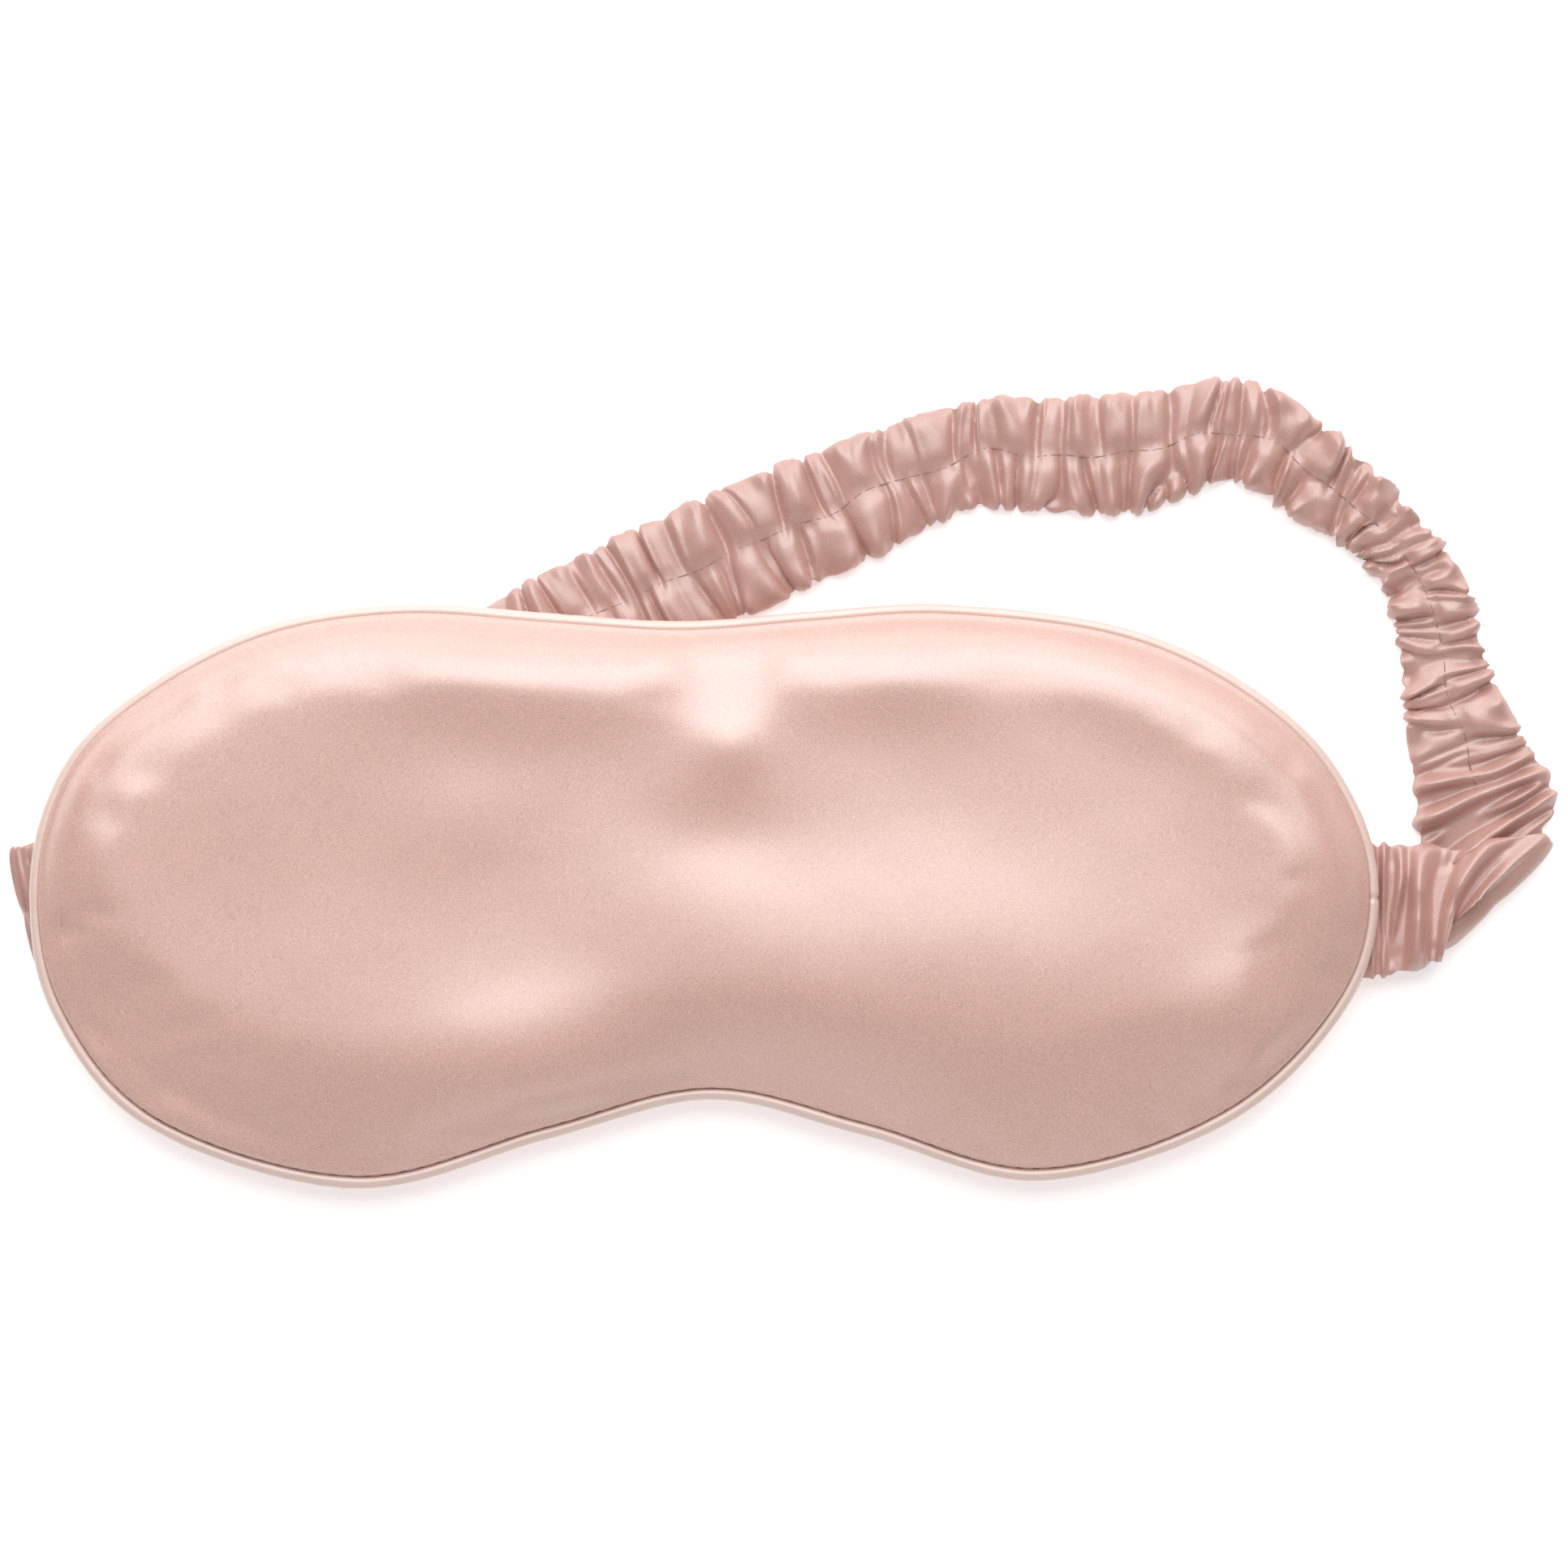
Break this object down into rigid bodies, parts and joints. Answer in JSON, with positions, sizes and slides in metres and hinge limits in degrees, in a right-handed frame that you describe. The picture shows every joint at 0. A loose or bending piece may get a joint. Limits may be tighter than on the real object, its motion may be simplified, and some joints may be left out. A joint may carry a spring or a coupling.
{
  "type": "sleep eye mask",
  "caption": "Padded satin sleep eye mask with a piped edge, a curved nose notch and a gathered elastic head strap whose free loop bends up.",
  "frame": {"origin": "on the back face where the mask rests, at the middle of the mask's own width and height, the strap not counted", "axes": "+X along the mask's width, towards the side where the strap loop lies; +Y towards the forehead edge; +Z out of the front face"},
  "size_m": [0.2402, 0.1256, 0.0152],
  "materials": {
    "satin": "glossy dusty pink silk satin, smooth on the panels and gathered on the strap",
    "piping_satin": "lighter peach satin bias strip",
    "thread": "dusky pink polyester sewing thread",
    "wadding": "white fibre filling",
    "blackout_cloth": "matt black light-blocking cloth",
    "elastic": "knitted off-white elastic tape"
  },
  "bodies": {
    "mask": {"front_panel": "satin", "front_wadding": "wadding", "blackout_interlining": "blackout_cloth", "back_wadding": "wadding", "back_panel": "satin", "piping_cover": "piping_satin", "piping_cord": "wadding", "edge_seam_thread": "thread", "left_strap_tack": "thread", "right_strap_tack": "thread", "strap_casing_left": "satin", "strap_elastic_left": "elastic", "strap_stitching_left": "thread", "strap_casing_right": "satin", "strap_elastic_right": "elastic", "strap_stitching_right": "thread"},
    "strap_loop": {"strap_casing_loop": "satin", "strap_elastic_loop": "elastic", "strap_stitching_loop": "thread"}
  },
  "joints": [
    {"name": "strap_lift", "type": "hinge", "parent": "mask", "child": "strap_loop", "pos_m": [0.05, 0.0476, 0.00315], "axis": [1, 0, 0], "range_deg": [0, 95]}
  ]
}
